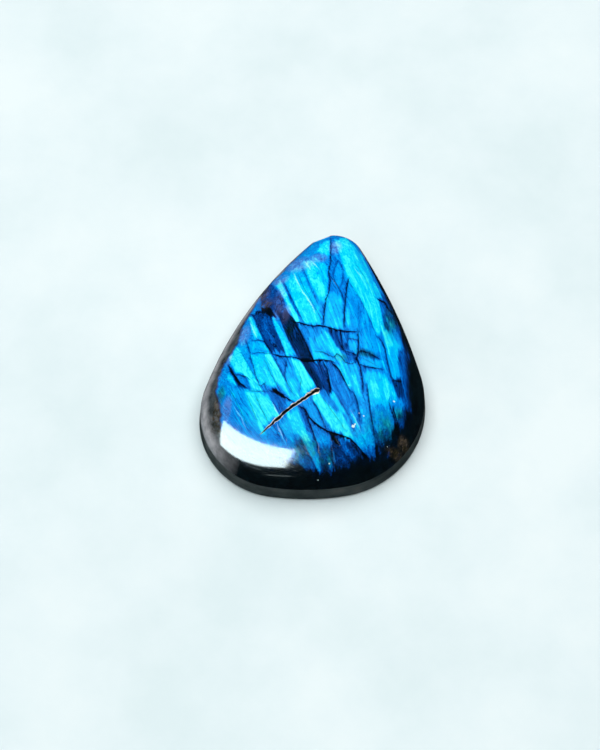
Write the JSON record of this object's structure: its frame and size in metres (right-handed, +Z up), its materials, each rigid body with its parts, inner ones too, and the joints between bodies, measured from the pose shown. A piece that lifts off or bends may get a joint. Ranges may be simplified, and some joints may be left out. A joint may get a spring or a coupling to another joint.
{
  "type": "polished labradorite cabochon",
  "caption": "Rounded teardrop of labradorite with a polished dome, an upright rim and a flat back, for setting in jewellery or for display.",
  "frame": {"origin": "on the flat back, at the middle of the stone's box", "axes": "+Y along the stone's length, to the narrow tip; +Z up through its thickness, to the domed face; +X to the right as seen from above with the tip up"},
  "size_m": [0.0284, 0.037, 0.009],
  "materials": {
    "labradorite": "polished"
  },
  "bodies": {
    "root": {"labradorite_stone": "labradorite"}
  },
  "joints": []
}
